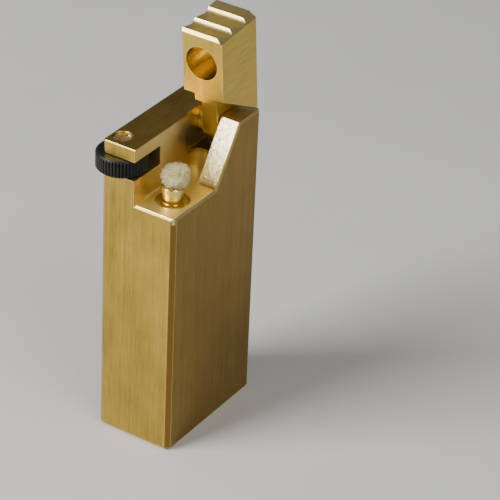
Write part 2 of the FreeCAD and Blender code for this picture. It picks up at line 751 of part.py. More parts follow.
def make_wheel():
    """The knurled thumb wheel, with radial teeth on the face that rubs the flint."""
    body = new_body("spark_wheel")
    form = [
        ("hub_radius", "zero"),
        ("wheel_rim_in", "zero"),
        ("wheel_radius", "wheel_chamfer"),
        ("wheel_radius", "wheel_rim_high"),
        ("wheel_rim_in", "wheel_thick"),
        ("hub_radius", "wheel_thick"),
    ]
    revolve(body, "wheel_form", form)
    notch = [("knurl_root", "zero"), ("knurl_out", "-knurl_half_wide"), ("knurl_out", "knurl_half_wide")]
    groove = pocket(body, "knurl_groove", notch, "XY_Plane", "wheel_thick + beyond",
                    "wheel_thick + 2 * beyond")
    polar(body, "knurl", groove, "knurl_count")
    gap = [
        ("tooth_inner_radius", "-tooth_half"),
        ("tooth_out", "-tooth_half"),
        ("tooth_out", "tooth_half"),
        ("tooth_inner_radius", "tooth_half"),
    ]
    tooth = pocket(body, "tooth_gap", gap, "XY_Plane", "-beyond", "tooth_deep + beyond", reverse=True)
    polar(body, "teeth", tooth, "tooth_count")
    centre = ("zero", "zero")
    bore(body, "washer_recess", centre, "washer_recess_radius", "wheel_thick + beyond",
         "hub_recess_deep + beyond")
    bore(body, "flange_recess", centre, "hub_recess_radius", "-beyond",
         "hub_recess_deep + beyond", reverse=True)
    put(body, "wheel_x", "wheel_y", "wheel_low")

    bush = new_body("wheel_bush")
    sleeve = [
        ("bush_bore_radius", "zero"),
        ("bush_flange_radius", "zero"),
        ("bush_flange_radius", "washer_thick"),
        ("bush_radius", "washer_thick"),
        ("bush_radius", "bush_tall"),
        ("bush_bore_radius", "bush_tall"),
    ]
    revolve(bush, "bush_form", sleeve)
    put(bush, "wheel_x", "wheel_y", "wheel_floor")
    rim = cylinder("wheel_washer_rim", "washer_radius", "washer_thick", ("0", "0", "0"))
    hole = cylinder("wheel_washer_hole", "hub_radius", "washer_thick", ("0", "0", "0"))
    washer = cut("wheel_washer", rim, hole)
    put(washer, "wheel_x", "wheel_y", "arm_under - washer_thick")
    return [body, bush, washer]


def screw(label, head_radius, head_tall, shank_radius, shank_long, place, head_down=False, spigot=False):
    """A slotted cheese-head screw. Its seat is at the place given."""
    head = cylinder(label + "_head", head_radius, head_tall, ("0", "0", "0"))
    shank = cylinder(label + "_shank", shank_radius, shank_long, ("0", "0", f"-({shank_long})"))
    pieces = [head, shank]
    if spigot:
        pieces.append(cylinder(label + "_spigot", "spigot_radius", "spigot_tall",
                               ("0", "0", f"-({shank_long}) - spigot_tall")))
    slot = box(label + "_slot", (f"4 * {head_radius}", "slot_cut_wide", "slot_cut_deep + beyond"),
               (f"-2 * {head_radius}", "-slot_cut_wide / 2", f"{head_tall} - slot_cut_deep"))
    thing = cut(label, fuse(label + "_blank", *pieces), slot)
    if head_down:
        thing.Placement.Rotation = FreeCAD.Rotation(FreeCAD.Vector(1, 0, 0), 180)
    put(thing, *place)
    return thing


def make_flint_parts():
    """The flint, the pusher and spring under it, and the screw that holds them in."""
    flint = cylinder("flint", "flint_radius", "flint_long",
                     ("flint_x", "flint_y", "wheel_low - running_gap / 2 - flint_long"))
    flange = cylinder("flint_pusher_flange", "pusher_radius", "pusher_tall", ("0", "0", "0"))
    spigot = cylinder("flint_pusher_spigot", "spigot_radius", "spigot_tall", ("0", "0", "-spigot_tall"))
    pusher = fuse("flint_pusher", flange, spigot)
    put(pusher, "flint_x", "flint_y", "wheel_low - running_gap - flint_long - pusher_tall")
    bolt = screw("flint_screw", "flint_screw_head", "flint_screw_head_tall", "flint_screw_radius",
                 "flint_screw_long", ("flint_x", "flint_y", "plate_inset + base_recess_deep"),
                 head_down=True, spigot=True)
    low = "plate_inset + base_recess_deep + flint_screw_long"
    spring = coil("flint_spring", "flint_coil_radius", "flint_wire_radius", "flint_coil_pitch",
                  f"wheel_low - flint_long - pusher_tall - ({low}) - 4 * flint_wire_radius",
                  ("flint_x", "flint_y", f"{low} + 1.5 * flint_wire_radius"))
    return [flint, pusher, bolt, spring]


# --- Wick and fuel --------------------------------------------------------------------------------

def make_wick_parts():
    """The wick tube, the wick, and the packing and felt that hold the fuel."""
    tube = new_body("wick_tube")
    form = [
        ("tube_bore_radius", "tank_roof"),
        ("tube_band_radius", "tank_roof"),
        ("tube_band_radius", "tube_low_band"),
        ("tube_neck_radius", "tube_low_band"),
        ("tube_neck_radius", "tube_high_band"),
        ("tube_band_radius", "tube_high_band"),
        ("tube_band_radius", "tube_rim"),
        ("tube_rim_in", "tube_top"),
        ("tube_bore_radius", "tube_top"),
    ]
    revolve(tube, "tube_form", form)
    put(tube, "tube_x", "tube_y", "0")
    wick = new_body("wick")
    strand = [
        ("zero", "wick_tail_height"),
        ("wick_radius", "wick_tail_height"),
        ("wick_radius", "wick_neck"),
        ("wick_head_radius", "wick_head_low"),
        ("wick_head_radius", "wick_head_high"),
        ("wick_crown", "wick_head_top"),
        ("zero", "wick_head_top"),
    ]
    revolve(wick, "wick_form", strand)
    put(wick, "tube_x", "tube_y", "0")
    filling = [
        ("pack_x0", "pack_y0"),
        ("pack_x1", "pack_y0"),
        ("pack_x1", "pack_y1"),
        ("pack_xs", "pack_y1"),
        ("pack_xs", "pack_ys"),
        ("pack_x0", "pack_ys"),
    ]
    packing = new_body("cotton_packing")
    pad(packing, "packing_block", filling, "XY_Plane", "packing_low", "tank_roof - packing_gap - packing_low")
    bore(packing, "packing_bore", ("tube_x", "tube_y"), "packing_bore_radius", "tank_roof",
         "tank_roof - wick_tail_height + packing_gap")
    felt = new_body("felt_pad")
    pad(felt, "felt_block", filling, "XY_Plane", "felt_low", "felt_thick")
    return [tube, wick, packing, felt]


# --- Base -----------------------------------------------------------------------------------------

def make_base_parts():
    """The base plate with its filler boss, gasket and screws, and the filler screw with its seal."""
    plate = new_body("base_plate")
    outline = [
        ("-plate_x", "-plate_y"),
        ("plate_x", "-plate_y"),
        ("plate_x", "plate_y"),
        ("-plate_x", "plate_y"),
    ]
    pad(plate, "plate_block", outline, "XY_Plane", "plate_inset", "plate_thick")

    def draw_boss(sketch):
        draw_circle(sketch, "filler_x", "zero", "filler_boss_radius")

    extrude(plate, "Pad", "filler_boss", draw_boss, "XY_Plane", "plate_inset + plate_thick / 2",
            "plate_thick / 2 + filler_boss_tall")
    holes = [
        ("filler", ("filler_x", "zero"), "filler_thread_radius", "filler_recess_radius",
         "filler_recess_deep"),
        ("flint", ("flint_x", "flint_y"), "flint_screw_hole", "flint_screw_recess", "base_recess_deep"),
        ("near", ("base_screw_x", "-base_screw_y"), "base_screw_hole", "base_screw_recess",
         "base_recess_deep"),
        ("far", ("base_screw_x", "base_screw_y"), "base_screw_hole", "base_screw_recess", "base_recess_deep"),
    ]
    for name, centre, hole_radius, recess_radius, recess_deep in holes:
        bore(plate, f"{name}_hole", centre, hole_radius, "below_base",
             "plate_top + filler_boss_tall + 2 * beyond", reverse=True)
        bore(plate, f"{name}_recess", centre, recess_radius, "below_base",
             f"beyond + plate_inset + {recess_deep}", reverse=True)

    gasket = new_body("base_gasket")
    pad(gasket, "gasket_block", outline, "XY_Plane", "plate_top", "gasket_thick")
    middle = [
        ("tank_x0", "tank_y0"),
        ("tank_x1", "tank_y0"),
        ("tank_x1", "tank_y1"),
        ("tank_xs", "tank_y1"),
        ("tank_xs", "tank_ys"),
        ("tank_x0", "tank_ys"),
    ]
    pocket(gasket, "gasket_opening", middle, "XY_Plane", "tank_roof", "tank_roof")
    for name, centre, hole_radius, _, _ in holes[1:]:
        bore(gasket, f"gasket_{name}_hole", centre, hole_radius, "tank_roof", "tank_roof")

    seat = "plate_inset + filler_recess_deep - seal_thick"
    filler = screw("filler_screw", "filler_head_radius", "filler_head_tall", "filler_radius",
                   "filler_boss_tall + seal_thick", ("filler_x", "0", seat), head_down=True)
    rim = cylinder("filler_seal_rim", "seal_radius", "seal_thick - running_gap", ("0", "0", "0"))
    hole = cylinder("filler_seal_hole", "seal_bore_radius", "seal_thick", ("0", "0", "0"))
    seal = cut("filler_seal", rim, hole)
    put(seal, "filler_x", "0", f"{seat} + running_gap / 2")
    pair = [
        screw(f"base_screw_{side}", "base_head_radius", "base_head_tall", "base_screw_radius",
              "base_screw_long", ("base_screw_x", y_text, "plate_inset + base_recess_deep"), head_down=True)
        for side, y_text in (("near", "-base_screw_y"), ("far", "base_screw_y"))
    ]
    screws = doc.addObject("Part::Compound", "base_screws")
    screws.Links = pair
    return [plate, gasket, filler, seal, screws]


# --- Assembly and output --------------------------------------------------------------------------

def main():
    block = make_body()
    soften_ledge(block)
    axle = screw("axle_screw", "axle_head_radius", "axle_head_tall", "axle_radius",
                 "axle_seat - wheel_floor + axle_thread_deep - 5 * running_gap",
                 ("wheel_x", "wheel_y", "axle_seat"))
    nodes = [block, make_lid(), axle]
    for make in (make_hinge, make_wheel, make_flint_parts, make_wick_parts, make_base_parts):
        nodes.extend(make())
    doc.recompute()
    for thing in doc.Objects:
        if "Invalid" in thing.State or "Error" in thing.State:
            raise RuntimeError(f"{thing.Label} failed: {thing.State}")
    os.makedirs("parts", exist_ok=True)
    for node in nodes:
        node.Label = node.Name
        if node.Shape.isNull() or not node.Shape.isValid():
            raise RuntimeError(f"{node.Label} has no valid shape")
    for node in nodes:
        node.Shape.exportStep(os.path.join("parts", node.Label + ".step"))
        print(f"{node.Label}: {node.Shape.Volume:.2f} mm3, {len(node.Shape.Solids)} solid(s)")


main()
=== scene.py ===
import json
import math
import random

import bmesh
import bpy
from mathutils import Matrix, Vector


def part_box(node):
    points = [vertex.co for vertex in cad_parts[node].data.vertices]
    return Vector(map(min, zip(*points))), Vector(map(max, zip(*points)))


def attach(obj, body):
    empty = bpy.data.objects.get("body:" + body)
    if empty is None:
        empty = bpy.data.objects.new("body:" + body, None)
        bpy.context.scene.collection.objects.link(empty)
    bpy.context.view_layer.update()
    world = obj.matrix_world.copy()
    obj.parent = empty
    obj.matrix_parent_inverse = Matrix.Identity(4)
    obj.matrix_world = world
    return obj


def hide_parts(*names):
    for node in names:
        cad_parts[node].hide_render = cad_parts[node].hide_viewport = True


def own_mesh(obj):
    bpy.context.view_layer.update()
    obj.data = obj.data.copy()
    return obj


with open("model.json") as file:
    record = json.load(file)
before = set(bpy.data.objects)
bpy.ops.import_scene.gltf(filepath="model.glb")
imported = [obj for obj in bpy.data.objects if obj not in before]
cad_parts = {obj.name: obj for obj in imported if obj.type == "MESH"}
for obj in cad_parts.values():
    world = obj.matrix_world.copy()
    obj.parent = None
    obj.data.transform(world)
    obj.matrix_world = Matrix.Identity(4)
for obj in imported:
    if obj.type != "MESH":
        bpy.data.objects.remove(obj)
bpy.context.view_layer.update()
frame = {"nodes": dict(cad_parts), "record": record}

MM = 0.001
random.seed(7)
nodes_of = frame["nodes"]
record = frame["record"]
scene = bpy.context.scene


def box_mm(node):
    """A node's corners in millimetres."""
    low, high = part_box(node)
    return [v / MM for v in low], [v / MM for v in high]


# Places on the object, in millimetres
body_low, body_high = box_mm("body")
wheel_low, wheel_high = box_mm("spark_wheel")
tube_low, tube_high = box_mm("wick_tube")
tube_x = (tube_low[0] + tube_high[0]) / 2
tube_y = (tube_low[1] + tube_high[1]) / 2
hinge = next(joint for joint in record["behaviour"]["joints"] if joint["name"] == "lid_hinge")
hinge_x, hinge_z = (hinge["pos_m"][axis] / MM for axis in (0, 2))
close_angle = math.radians(hinge["range_deg"][1])
LEAN = math.pi / 2 - close_angle
LEDGE = 41.0
CHEEK_SIDE = -3.0
BAR_SIDE = 0.7
WHEEL_GAP = 0.12
HOLE_RADIUS = 2.76
SLOT_BACK = wheel_high[0] + WHEEL_GAP


def lid_place(x, z):
    """A point of the closed lid, in the shader's upright coordinates of the open lid."""
    dx, dz = x - hinge_x, z - hinge_z
    open_x = hinge_x + dx * math.cos(close_angle) + dz * math.sin(close_angle)
    open_z = hinge_z - dx * math.sin(close_angle) + dz * math.cos(close_angle)
    return open_z * math.cos(LEAN) - open_x * math.sin(LEAN)


SNUFFER_HOLE = (tube_y, lid_place(tube_x, hinge_z))


# --- Shader helpers -------------------------------------------------------------------------------

class Shader:
    """A material's node tree with short calls for the nodes used here."""

    def __init__(self, name):
        self.material = bpy.data.materials.new(name)
        self.material.use_nodes = True
        self.tree = self.material.node_tree
        self.tree.nodes.clear()
        self.output = self.node("ShaderNodeOutputMaterial")
        self.bsdf = self.node("ShaderNodeBsdfPrincipled")
        self.link(self.bsdf.outputs["BSDF"], self.output.inputs["Surface"])

    def node(self, kind, **props):
        node = self.tree.nodes.new(kind)
        for key, value in props.items():
            setattr(node, key, value)
        return node

    def link(self, a, b):
        self.tree.links.new(a, b)

    def feed(self, socket, value):
        if isinstance(value, bpy.types.NodeSocket):
            self.link(value, socket)
        else:
            socket.default_value = value

    def math(self, operation, a, b=0.0, c=0.0, clamp=False):
        node = self.node("ShaderNodeMath", operation=operation, use_clamp=clamp)
        for socket, value in zip(node.inputs, (a, b, c)):
            self.feed(socket, value)
        return node.outputs[0]

    def object_place(self, turn=0.0):
        """Object coordinates in millimetres, turned about Y."""
        coordinates = self.node("ShaderNodeTexCoord")
        mapping = self.node("ShaderNodeMapping")
        mapping.inputs["Rotation"].default_value = (0.0, turn, 0.0)
        mapping.inputs["Scale"].default_value = (1000.0, 1000.0, 1000.0)
        self.link(coordinates.outputs["Object"], mapping.inputs["Vector"])
        return mapping.outputs["Vector"]

    def stretch(self, place, scale):
        node = self.node("ShaderNodeVectorMath", operation="MULTIPLY")
        self.link(place, node.inputs[0])
        node.inputs[1].default_value = scale
        return node.outputs[0]

    def noise(self, place, scale, detail=3.0, roughness=0.6, distortion=0.0):
        node = self.node("ShaderNodeTexNoise")
        self.link(place, node.inputs["Vector"])
        node.inputs["Scale"].default_value = scale
        node.inputs["Detail"].default_value = detail
        node.inputs["Roughness"].default_value = roughness
        node.inputs["Distortion"].default_value = distortion
        return node.outputs["Fac"]

    def ramp(self, value, low, high, out_low=0.0, out_high=1.0):
        node = self.node("ShaderNodeMapRange")
        for socket, entry in zip(node.inputs, (value, low, high, out_low, out_high)):
            self.feed(socket, entry)
        return node.outputs[0]

    def mix(self, factor, a, b):
        node = self.node("ShaderNodeMix", data_type="RGBA")
        self.feed(node.inputs[0], factor)
        self.feed(node.inputs[6], a)
        self.feed(node.inputs[7], b)
        return node.outputs[2]

    def blend(self, factor, a, b):
        node = self.node("ShaderNodeMix", data_type="FLOAT")
        self.feed(node.inputs[0], factor)
        self.feed(node.inputs[2], a)
        self.feed(node.inputs[3], b)
        return node.outputs[0]

    def bump(self, height, distance, strength=1.0, normal=None):
        node = self.node("ShaderNodeBump")
        node.inputs["Strength"].default_value = strength
        node.inputs["Distance"].default_value = distance
        self.feed(node.inputs["Height"], height)
        if normal is not None:
            self.link(normal, node.inputs["Normal"])
        return node.outputs["Normal"]

    def edges(self, radius):
        """1 on sharp edges and 0 on flats, from the rounded normal against the true one."""
        bevel = self.node("ShaderNodeBevel", samples=4)
        bevel.inputs["Radius"].default_value = radius
        geometry = self.node("ShaderNodeNewGeometry")
        dot = self.node("ShaderNodeVectorMath", operation="DOT_PRODUCT")
        self.link(bevel.outputs["Normal"], dot.inputs[0])
        self.link(geometry.outputs["Normal"], dot.inputs[1])
        return self.ramp(dot.outputs["Value"], 0.995, 0.9), bevel.outputs["Normal"]

    def set(self, **sockets):
        for name, value in sockets.items():
            self.feed(self.bsdf.inputs[name.replace("_", " ")], value)


def rgb(r, g, b):
    return (r, g, b, 1.0)


BRASS = rgb(0.45, 0.30, 0.060)
BRASS_DEEP = rgb(0.27, 0.172, 0.029)
BRASS_PALE = rgb(0.84, 0.60, 0.125)
BRASS_DARK = rgb(0.22, 0.125, 0.03)
BRASS_BRIGHT = rgb(0.97, 0.79, 0.32)
# Near white for the painted highlight on the slant.
SLANT_HIGHLIGHT = rgb(1.0, 0.90, 0.58)
SLANT_FOOT = rgb(0.80, 0.58, 0.20)
# Gold for painted sheen inside the lid's hole and on the body's inner walls.
PAINTED_SHEEN_GOLD = rgb(0.80, 0.66, 0.33)
# Near black for painted shade in the wheel slot.
SLOT_SHADE_BLACK = rgb(0.012, 0.010, 0.008)
STAIN = rgb(0.42, 0.36, 0.15)


class Region:
    """Masks over a shader's object coordinates in millimetres."""

    def __init__(self, shader, place):
        self.s = shader
        split = shader.node("ShaderNodeSeparateXYZ")
        shader.link(place, split.inputs["Vector"])
        self.x, self.y, self.z = split.outputs

    def over(self, value, edge, soft):
        """1 above edge and 0 below it."""
        return self.s.ramp(value, edge - soft, edge + soft)

    def under(self, value, edge, soft):
        """1 below edge and 0 above it."""
        return self.s.ramp(value, edge + soft, edge - soft)

    def span(self, value, low, high, soft):
        """1 between low and high."""
        return self.s.math("MULTIPLY", self.over(value, low, soft), self.under(value, high, soft))

    def disc(self, a, b, centre, radius, soft):
        """1 inside a circle in the plane of two coordinates."""
        da = self.s.math("SUBTRACT", a, centre[0])
        db = self.s.math("SUBTRACT", b, centre[1])
        square = self.s.math("ADD", self.s.math("MULTIPLY", da, da), self.s.math("MULTIPLY", db, db))
        return self.under(self.s.math("SQRT", square), radius, soft)

    def size(self, value):
        return self.s.math("ABSOLUTE", value)

    def both(self, *masks):
        result = masks[0]
        for mask in masks[1:]:
            result = self.s.math("MULTIPLY", result, mask)
        return result


def axis_facing(s, turn):
    """How far the surface faces each object axis, from 0 to 1, after a turn about Y."""
    coordinates = s.node("ShaderNodeTexCoord")
    turned = s.node("ShaderNodeVectorRotate", rotation_type="Y_AXIS")
    turned.inputs["Angle"].default_value = turn
    split = s.node("ShaderNodeSeparateXYZ")
    s.link(coordinates.outputs["Normal"], turned.inputs["Vector"])
    s.link(turned.outputs["Vector"], split.inputs["Vector"])
    return [s.math("ABSOLUTE", output) for output in split.outputs]


def brushed_brass(name, turn=0.0, lid=False):
    """Satin brass. The body's sides are brushed up and down; the lid's cheeks are brushed across. Painted
    shade and painted highlights are mixed into its colour.
    """
    s = Shader(name)
    place = s.object_place(turn)
    region = Region(s, place)
    facing = axis_facing(s, turn)
    across = (0.03, 1.0, 1.0)
    upright = (1.0, 1.0, 0.02)
    main, other = (across, upright) if lid else (upright, across)
    switch = s.ramp(facing[0] if lid else facing[2], 0.6, 0.75)
    fine = s.blend(switch, s.noise(s.stretch(place, main), 10.0, detail=6.0, roughness=0.75),
                   s.noise(s.stretch(place, other), 9.0, detail=6.0, roughness=0.72))
    coarse = s.blend(switch, s.noise(s.stretch(place, main), 1.5), s.noise(s.stretch(place, other), 1.5))
    patches = s.noise(place, 0.13)
    speck = s.noise(place, 2.6, detail=5.0, roughness=0.65)
    scratch = s.noise(s.stretch(place, (1.0, 1.0, 0.12)), 2.2, detail=5.0, distortion=1.2)
    patch_scratch = s.noise(place, 0.9, detail=4.0, distortion=0.8)
    edge, _ = s.edges(0.00024)

    grain = s.math("ADD", s.math("MULTIPLY", fine, 0.75), s.math("MULTIPLY", coarse, 0.25))
    colour = s.mix(s.ramp(grain, 0.40, 0.58), BRASS_DEEP, BRASS)
    colour = s.mix(s.ramp(patches, 0.35, 0.7, 0.0, 0.22), colour, BRASS_PALE)
    rough = s.ramp(grain, 0.38, 0.62, 0.44, 0.29)
    rough = s.math("ADD", rough, s.ramp(patches, 0.3, 0.7, -0.03, 0.05))
    if lid:
        # Painted light: the whole lid is a lighter copy of the body's brass.
        colour = s.mix(0.30, colour, BRASS_PALE)
        cheeks = s.ramp(facing[1], 0.75, 0.95)
        tread_highlight = s.ramp(facing[2], 0.55, 0.8)
        strokes = s.ramp(fine, 0.42, 0.58, 0.25, 0.75)
        # Painted sheen: the lid's cheeks are paler along the brush strokes, in place of the highlight the
        # cross brushing catches.
        colour = s.mix(s.math("MULTIPLY", cheeks, strokes), colour, BRASS_PALE)
        # Painted highlight: faces turned upwards on the lid are mixed towards bright brass.
        colour = s.mix(s.math("MULTIPLY", tread_highlight, 0.8), colour, BRASS_BRIGHT)
        # Painted sheen: the bore of the snuffer hole is mixed towards a bright gold.
        hole = region.both(region.disc(region.y, region.z, SNUFFER_HOLE, HOLE_RADIUS, 0.04),
                           s.ramp(facing[0], 0.7, 0.3))
        colour = s.mix(s.math("MULTIPLY", hole, s.ramp(fine, 0.4, 0.6, 0.75, 1.0)), colour, PAINTED_SHEEN_GOLD)
        rough = s.blend(hole, rough, 0.2)
    else:
        # Painted shade: the outer wide faces are mixed towards dark brass.
        outside = region.over(region.size(region.y), body_high[1] - 0.05, 0.04)
        wide_shade = region.both(s.ramp(facing[1], 0.75, 0.95), outside)
        colour = s.mix(s.math("MULTIPLY", wide_shade, 0.55), colour, BRASS_DARK)
        # Painted shade: the chamfers on the upright corners are dark brass.
        corner_shade = region.both(s.ramp(s.math("MINIMUM", facing[0], facing[1]), 0.55, 0.68),
                             region.over(region.size(region.x), body_high[0] - 0.9, 0.1))
        colour = s.mix(corner_shade, colour, BRASS_DARK)
        # Painted light: the walls inside the body, above the ledge, are mixed towards bright gold.
        lit_inner = region.both(region.span(region.z, LEDGE - 1.0, body_high[2] - 0.12, 0.06),
                            region.under(region.size(region.y), body_high[1] - 0.2, 0.1),
                            region.under(region.size(region.x), body_high[0] - 0.15, 0.05))
        colour = s.mix(s.math("MULTIPLY", lit_inner, 0.75), colour, PAINTED_SHEEN_GOLD)
        # Painted highlight: the ledge's upward faces are bright brass.
        ledge_highlight = region.both(lit_inner, s.ramp(facing[2], 0.7, 0.9), region.under(region.z, LEDGE + 0.4, 0.1))
        colour = s.mix(s.math("MULTIPLY", ledge_highlight, 1.0), colour, BRASS_BRIGHT)
        rough = s.blend(ledge_highlight, rough, 0.5)
        # Painted shade: the hinge pocket between cheek and bar is darkened.
        pocket_shade = region.both(region.span(region.z, LEDGE + 2.5, hinge_z - 0.6, 0.4),
                             region.span(region.y, CHEEK_SIDE - 0.4, BAR_SIDE + 0.2, 0.1),
                             region.over(region.x, hinge_x - 5.2, 0.8))
        colour = s.mix(s.math("MULTIPLY", pocket_shade, 0.85), colour, BRASS_DARK)
        # Painted highlight: the long chamfers between side and top faces are bright brass.
        rim_highlights = region.both(s.ramp(s.math("MINIMUM", facing[1], facing[2]), 0.6, 0.68),
                           s.ramp(facing[0], 0.35, 0.2))
        colour = s.mix(rim_highlights, colour, BRASS_BRIGHT)
        # Painted highlight: the slanted face is mixed towards near white, broken up by scratches.
        slant = region.both(s.ramp(s.math("MINIMUM", facing[0], facing[2]), 0.4, 0.5),
                            region.under(region.y, CHEEK_SIDE, 0.1),
                            region.over(region.z, LEDGE + 0.2, 0.1))
        colour = s.mix(s.math("MULTIPLY", slant, s.ramp(scratch, 0.42, 0.60, 1.0, 0.5)), colour, SLANT_HIGHLIGHT)
        # The foot of the slant is mixed in patches towards a deeper gold.
        foot = region.under(region.z, LEDGE + 3.6, 1.2)
        tinted = region.both(slant, foot, s.ramp(patch_scratch, 0.4, 0.6, 0.25, 0.9))
        colour = s.mix(tinted, colour, SLANT_FOOT)
        rough = s.blend(slant, rough, s.ramp(scratch, 0.3, 0.65, 0.42, 0.26))
        # Painted shade: the wheel slot is filled with near black.
        slot = region.both(region.span(region.z, wheel_low[2] - WHEEL_GAP, wheel_high[2] + WHEEL_GAP, 0.02),
                           region.over(region.y, BAR_SIDE + 0.02, 0.02),
                           region.under(region.y, body_high[1] - 0.05, 0.04),
                           region.under(region.x, SLOT_BACK, 0.02),
                           region.over(region.x, body_low[0] + 0.05, 0.04))
        colour = s.mix(s.math("MULTIPLY", slot, 0.96), colour, SLOT_SHADE_BLACK)
        rough = s.blend(slot, rough, 0.6)
    # Sharp edges: rubbed bright brass as wear, and a painted edge highlight as well.
    colour = s.mix(s.math("MULTIPLY", edge, 0.5), colour, BRASS_BRIGHT)
    rough = s.blend(edge, rough, 0.3)
    height = s.math("ADD", grain, s.math("MULTIPLY", speck, 0.10))
    normal = s.bump(height, 0.00003, 0.85)
    if not lid:
        tear = s.math("ADD", scratch, s.math("MULTIPLY", patch_scratch, 1.5))
        normal = s.bump(s.math("MULTIPLY", tear, slant), 0.00016, 0.8, normal)
    s.set(Base_Color=colour, Metallic=1.0, Roughness=rough, Normal=normal)
    return s.material


def polished_metal(name, colour, dark, rough=0.2, ring_scale=14.0):
    """Turned metal: fine rings round the piece, faint tarnish and small scratches."""
    s = Shader(name)
    place = s.object_place()
    lines = s.noise(s.stretch(place, (0.3, 0.3, 1.0)), ring_scale, detail=3.0)
    tarnish = s.noise(place, 0.9, detail=4.0)
    speck = s.noise(place, 9.0, detail=2.0)
    edge, _ = s.edges(0.00008)
    tint = s.mix(s.ramp(tarnish, 0.42, 0.72, 0.0, 0.7), colour, dark)
    tint = s.mix(s.ramp(lines, 0.4, 0.7, 0.0, 0.25), tint, dark)
    roughness = s.math("ADD", s.ramp(tarnish, 0.3, 0.7, rough, rough + 0.14),
                       s.ramp(speck, 0.4, 0.7, 0.0, 0.06))
    roughness = s.blend(edge, roughness, rough * 0.8)
    normal = s.bump(s.math("ADD", lines, s.math("MULTIPLY", speck, 0.3)), 0.000006, 0.6)
    s.set(Base_Color=tint, Metallic=1.0, Roughness=roughness, Normal=normal)
    return s.material


def black_steel(name):
    """Blackened steel, rubbed to grey on its sharpest edges."""
    s = Shader(name)
    place = s.object_place()
    cloud = s.noise(place, 1.2, detail=4.0)
    speck = s.noise(place, 12.0, detail=3.0)
    edge, _ = s.edges(0.00008)
    worn = s.math("MULTIPLY", edge, s.ramp(cloud, 0.4, 0.65, 0.1, 0.8))
    colour = s.mix(s.ramp(cloud, 0.3, 0.7), rgb(0.004, 0.0035, 0.003), rgb(0.010, 0.009, 0.008))
    colour = s.mix(worn, colour, rgb(0.07, 0.068, 0.066))
    rough = s.ramp(speck, 0.3, 0.7, 0.36, 0.58)
    normal = s.bump(speck, 0.00001, 0.6)
    s.set(Base_Color=colour, Metallic=0.35, Roughness=rough, Normal=normal)
    return s.material


def fibre(name, pale, dark, scale=2.0, soiled=None):
    """Soft matte fibre with streaks and soiling; soiled is a height in millimetres it is stained below."""
    s = Shader(name)
    place = s.object_place()
    cloud = s.noise(place, scale, detail=5.0)
    streak = s.noise(s.stretch(place, (1.0, 1.0, 0.25)), 12.0, detail=4.0)
    colour = s.mix(s.ramp(cloud, 0.35, 0.68), dark, pale)
    colour = s.mix(s.ramp(streak, 0.45, 0.75, 0.0, 0.5), colour, dark)
    if soiled is not None:
        region = Region(s, place)
        wavy = s.math("ADD", region.z, s.ramp(cloud, 0.3, 0.7, -0.5, 0.5))
        colour = s.mix(s.math("MULTIPLY", region.under(wavy, soiled, 0.45), 0.75), colour, STAIN)
    normal = s.bump(s.math("ADD", streak, cloud), 0.00005, 0.8)
    s.set(Base_Color=colour, Roughness=s.ramp(streak, 0.3, 0.7, 0.8, 0.95), Normal=normal)
    s.bsdf.inputs["Subsurface Weight"].default_value = 0.15
    s.bsdf.inputs["Subsurface Radius"].default_value = (0.0006, 0.0005, 0.0004)
    s.bsdf.inputs["Subsurface Scale"].default_value = 0.5
    return s.material


def dull(name, pale, dark, rough=0.7, metallic=0.0, grain=6.0):
    """Plain hidden stuff such as rubber or flint, with a fine grain."""
    s = Shader(name)
    place = s.object_place()
    cloud = s.noise(place, 0.8, detail=4.0)
    speck = s.noise(place, grain, detail=3.0)
    colour = s.mix(s.ramp(s.math("ADD", cloud, s.math("MULTIPLY", speck, 0.4)), 0.5, 0.9), dark, pale)
    normal = s.bump(speck, 0.00002, 0.7)
    s.set(Base_Color=colour, Roughness=s.ramp(speck, 0.3, 0.7, rough - 0.12, rough + 0.1), Metallic=metallic,
          Normal=normal)
    return s.material


materials = {
    "brushed_brass": brushed_brass("brushed_brass"),
    "turned_brass": polished_metal("turned_brass", rgb(0.86, 0.66, 0.22), rgb(0.46, 0.29, 0.06), rough=0.16),
    "screw_brass": polished_metal("screw_brass", rgb(0.80, 0.64, 0.36), rgb(0.52, 0.37, 0.15), rough=0.32),
    "steel": polished_metal("steel", rgb(0.55, 0.54, 0.52), rgb(0.30, 0.29, 0.27), rough=0.28),
    "black_steel": black_steel("black_steel"),
    "flint": dull("flint", rgb(0.16, 0.15, 0.14), rgb(0.06, 0.055, 0.05), 0.6, 0.6),
    "seal_rubber": dull("seal_rubber", rgb(0.03, 0.03, 0.03), rgb(0.012, 0.012, 0.012), 0.75),
    "wick_fibre": fibre("wick_fibre", rgb(1.0, 0.93, 0.56), rgb(0.78, 0.63, 0.28), 0.7,
                        soiled=tube_high[2] + 1.0),
    "cotton": fibre("cotton", rgb(0.84, 0.82, 0.76), rgb(0.60, 0.56, 0.47), 0.5),
    "felt": fibre("felt", rgb(0.66, 0.62, 0.53), rgb(0.42, 0.38, 0.30), 0.7),
}
lid_brass = brushed_brass("lid_brass", turn=LEAN, lid=True)

slot_of = {row["node"]: row["material_slot"] for row in record["subparts"]}


def dress(node, material):
    mesh = nodes_of[node].data
    mesh.materials.clear()
    mesh.materials.append(material)


for node in nodes_of:
    dress(node, lid_brass if node == "lid" else materials[slot_of[node]])


# --- Soft pieces ----------------------------------------------------------------------------------

def add_mesh(name, build, body, *stands_for, material=None, smooth=True, slot=None):
    """A new mesh piece; build(bm) fills it in metres."""
    mesh = bpy.data.meshes.new(name)
    bm = bmesh.new()
    build(bm)
    bm.normal_update()
    bm.to_mesh(mesh)
    bm.free()
    if smooth:
        for face in mesh.polygons:
            face.use_smooth = True
    thing = bpy.data.objects.new(name, mesh)
    scene.collection.objects.link(thing)
    mesh.materials.append(material)
    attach(thing, body)
    if stands_for:
        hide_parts(*stands_for)
    return thing


